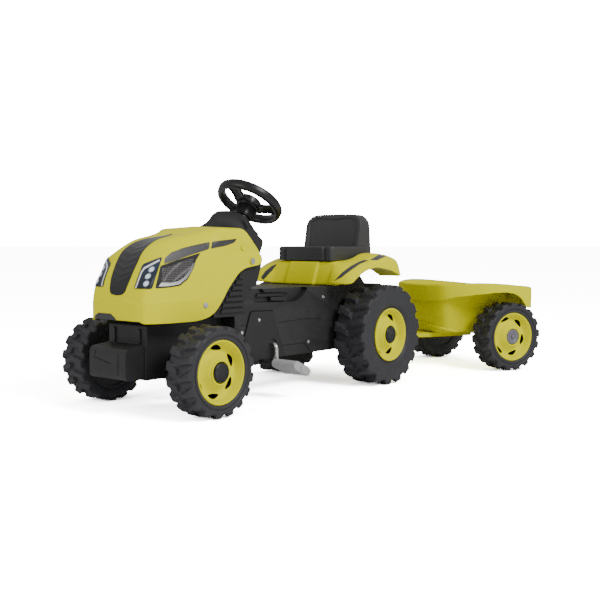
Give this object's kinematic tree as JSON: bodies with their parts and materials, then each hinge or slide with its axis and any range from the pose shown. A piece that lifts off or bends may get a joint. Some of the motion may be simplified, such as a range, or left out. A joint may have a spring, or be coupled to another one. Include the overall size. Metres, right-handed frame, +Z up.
{
  "type": "pedal tractor with trailer",
  "caption": "Child's ride-on pedal tractor with opening bonnet, adjustable seat, steered front wheels, pedal drive and a two-wheeled tub trailer on a pin hitch.",
  "frame": {"origin": "on the ground under the middle of the rear axle", "axes": "+X to the tractor's nose, +Y to the driver's left, +Z up"},
  "size_m": [1.478, 0.6021, 0.5343],
  "materials": {
    "lime_plastic": "glossy moulded, lime yellow",
    "charcoal_plastic": "fine-textured satin, charcoal",
    "black_plastic": "semi-gloss black",
    "tyre_plastic": "blow-moulded satin, dark charcoal",
    "grey_plastic": "satin light grey",
    "steel": "zinc plated",
    "lamp_label": "printed lamp graphic under gloss film",
    "vent_label": "printed mesh graphic under gloss film"
  },
  "bodies": {
    "chassis": {"chassis_shell": "charcoal_plastic", "nose_frame": "charcoal_plastic", "front_weight": "charcoal_plastic", "engine_block": "charcoal_plastic", "dash_cowl": "charcoal_plastic", "left_crank_cover": "charcoal_plastic", "right_crank_cover": "charcoal_plastic", "engine_side_panels": "charcoal_plastic", "chassis_screws": "steel", "fender_deck": "lime_plastic", "bonnet_hinge_screws": "steel", "column_bushes": "grey_plastic", "front_axle_beam": "charcoal_plastic", "drive_chain": "steel", "axle_bushes": "grey_plastic", "hitch_bracket": "charcoal_plastic"},
    "bonnet": {"bonnet_shell": "lime_plastic", "grille_panel": "black_plastic", "headlight_lenses": "lamp_label", "side_vents": "vent_label"},
    "seat": {"seat_shell": "charcoal_plastic"},
    "steering": {"steering_wheel": "black_plastic", "steering_column": "steel"},
    "horn": {"horn_button": "grey_plastic"},
    "tie_rod": {"tie_rod": "steel"},
    "crank": {"pedal_crank": "steel", "crank_sprocket": "charcoal_plastic"},
    "left_pedal": {"left_pedal": "grey_plastic"},
    "right_pedal": {"right_pedal": "grey_plastic"},
    "rear_axle": {"rear_axle": "steel", "axle_sprocket": "charcoal_plastic", "left_rear_tyre": "tyre_plastic", "left_rear_rim": "lime_plastic", "left_rear_cap": "black_plastic"},
    "right_rear_wheel": {"right_rear_tyre": "tyre_plastic", "right_rear_rim": "lime_plastic", "right_rear_cap": "black_plastic"},
    "hitch_pin": {"hitch_pin": "black_plastic"},
    "trailer": {"trailer_tub": "lime_plastic", "trailer_drawbar": "lime_plastic", "trailer_axle_brackets": "charcoal_plastic", "trailer_axle": "steel"},
    "left_knuckle": {"left_steering_knuckle": "charcoal_plastic", "left_kingpin": "steel", "left_stub_axle": "steel"},
    "left_front_wheel": {"left_front_tyre": "tyre_plastic", "left_front_rim": "lime_plastic", "left_front_cap": "black_plastic"},
    "left_trailer_wheel": {"left_trailer_tyre": "tyre_plastic", "left_trailer_rim": "lime_plastic", "left_trailer_cap": "grey_plastic"},
    "right_knuckle": {"right_steering_knuckle": "charcoal_plastic", "right_kingpin": "steel", "right_stub_axle": "steel"},
    "right_front_wheel": {"right_front_tyre": "tyre_plastic", "right_front_rim": "lime_plastic", "right_front_cap": "black_plastic"},
    "right_trailer_wheel": {"right_trailer_tyre": "tyre_plastic", "right_trailer_rim": "lime_plastic", "right_trailer_cap": "grey_plastic"}
  },
  "joints": [
    {"name": "steering_turn", "type": "hinge", "parent": "chassis", "child": "steering", "pos_m": [0.315, 0, 0.482], "axis": [-0.5592, 0, 0.829], "range_deg": [-45, 45]},
    {"name": "left_kingpin_turn", "type": "hinge", "parent": "chassis", "child": "left_knuckle", "pos_m": [0.633, 0.112, 0.1], "axis": [0, 0, 1], "range_deg": [-19.6, 19.6]},
    {"name": "right_kingpin_turn", "type": "hinge", "parent": "chassis", "child": "right_knuckle", "pos_m": [0.633, -0.112, 0.1], "axis": [0, 0, 1], "range_deg": [-19.6, 19.6]},
    {"name": "tie_rod_link", "type": "hinge", "parent": "left_knuckle", "child": "tie_rod", "pos_m": [0.526, 0.112, 0.088], "axis": [0, 0, 1], "range_deg": [-19.6, 19.6]},
    {"name": "left_front_spin", "type": "hinge", "parent": "left_knuckle", "child": "left_front_wheel", "pos_m": [0.633, 0.182, 0.1], "axis": [0, 1, 0], "continuous": true},
    {"name": "right_front_spin", "type": "hinge", "parent": "right_knuckle", "child": "right_front_wheel", "pos_m": [0.633, -0.182, 0.1], "axis": [0, 1, 0], "continuous": true},
    {"name": "rear_axle_spin", "type": "hinge", "parent": "chassis", "child": "rear_axle", "pos_m": [0, 0, 0.133], "axis": [0, 1, 0], "continuous": true},
    {"name": "crank_spin", "type": "hinge", "parent": "chassis", "child": "crank", "pos_m": [0.349, 0, 0.13], "axis": [0, 1, 0], "continuous": true},
    {"name": "left_pedal_spin", "type": "hinge", "parent": "crank", "child": "left_pedal", "pos_m": [0.349, 0.166, 0.078], "axis": [0, 1, 0], "continuous": true},
    {"name": "right_pedal_spin", "type": "hinge", "parent": "crank", "child": "right_pedal", "pos_m": [0.349, -0.166, 0.182], "axis": [0, 1, 0], "continuous": true},
    {"name": "right_rear_spin", "type": "hinge", "parent": "rear_axle", "child": "right_rear_wheel", "pos_m": [0, -0.1715, 0.133], "axis": [0, 1, 0], "continuous": true},
    {"name": "bonnet_hinge", "type": "hinge", "parent": "chassis", "child": "bonnet", "pos_m": [0.436, 0, 0.334], "axis": [0, -1, 0], "range_deg": [0, 25]},
    {"name": "seat_slide", "type": "slide", "parent": "chassis", "child": "seat", "axis": [1, 0, 0], "range_m": [-0.02, 0.02]},
    {"name": "horn_press", "type": "slide", "parent": "steering", "child": "horn", "axis": [-0.5592, 0, 0.829], "range_m": [-0.003, 0], "stiffness_N_per_m": 800},
    {"name": "hitch_turn", "type": "hinge", "parent": "chassis", "child": "trailer", "pos_m": [-0.165, 0, 0.0985], "axis": [0, 0, 1], "range_deg": [-23, 66]},
    {"name": "hitch_pin_lift", "type": "slide", "parent": "chassis", "child": "hitch_pin", "axis": [0, 0, 1], "range_m": [0, 0.045]},
    {"name": "left_trailer_spin", "type": "hinge", "parent": "trailer", "child": "left_trailer_wheel", "pos_m": [-0.46281, 0.30608, 0.1], "axis": [0.3704, 0.9289, 0], "continuous": true},
    {"name": "right_trailer_spin", "type": "hinge", "parent": "trailer", "child": "right_trailer_wheel", "pos_m": [-0.59171, -0.01717, 0.1], "axis": [0.3704, 0.9289, 0], "continuous": true}
  ],
  "couplings": [
    {"joint": "left_kingpin_turn", "follows": "steering_turn", "ratio": 0.435},
    {"joint": "right_kingpin_turn", "follows": "steering_turn", "ratio": 0.435},
    {"joint": "tie_rod_link", "follows": "steering_turn", "ratio": -0.435},
    {"joint": "crank_spin", "follows": "rear_axle_spin", "ratio": 0.75}
  ]
}
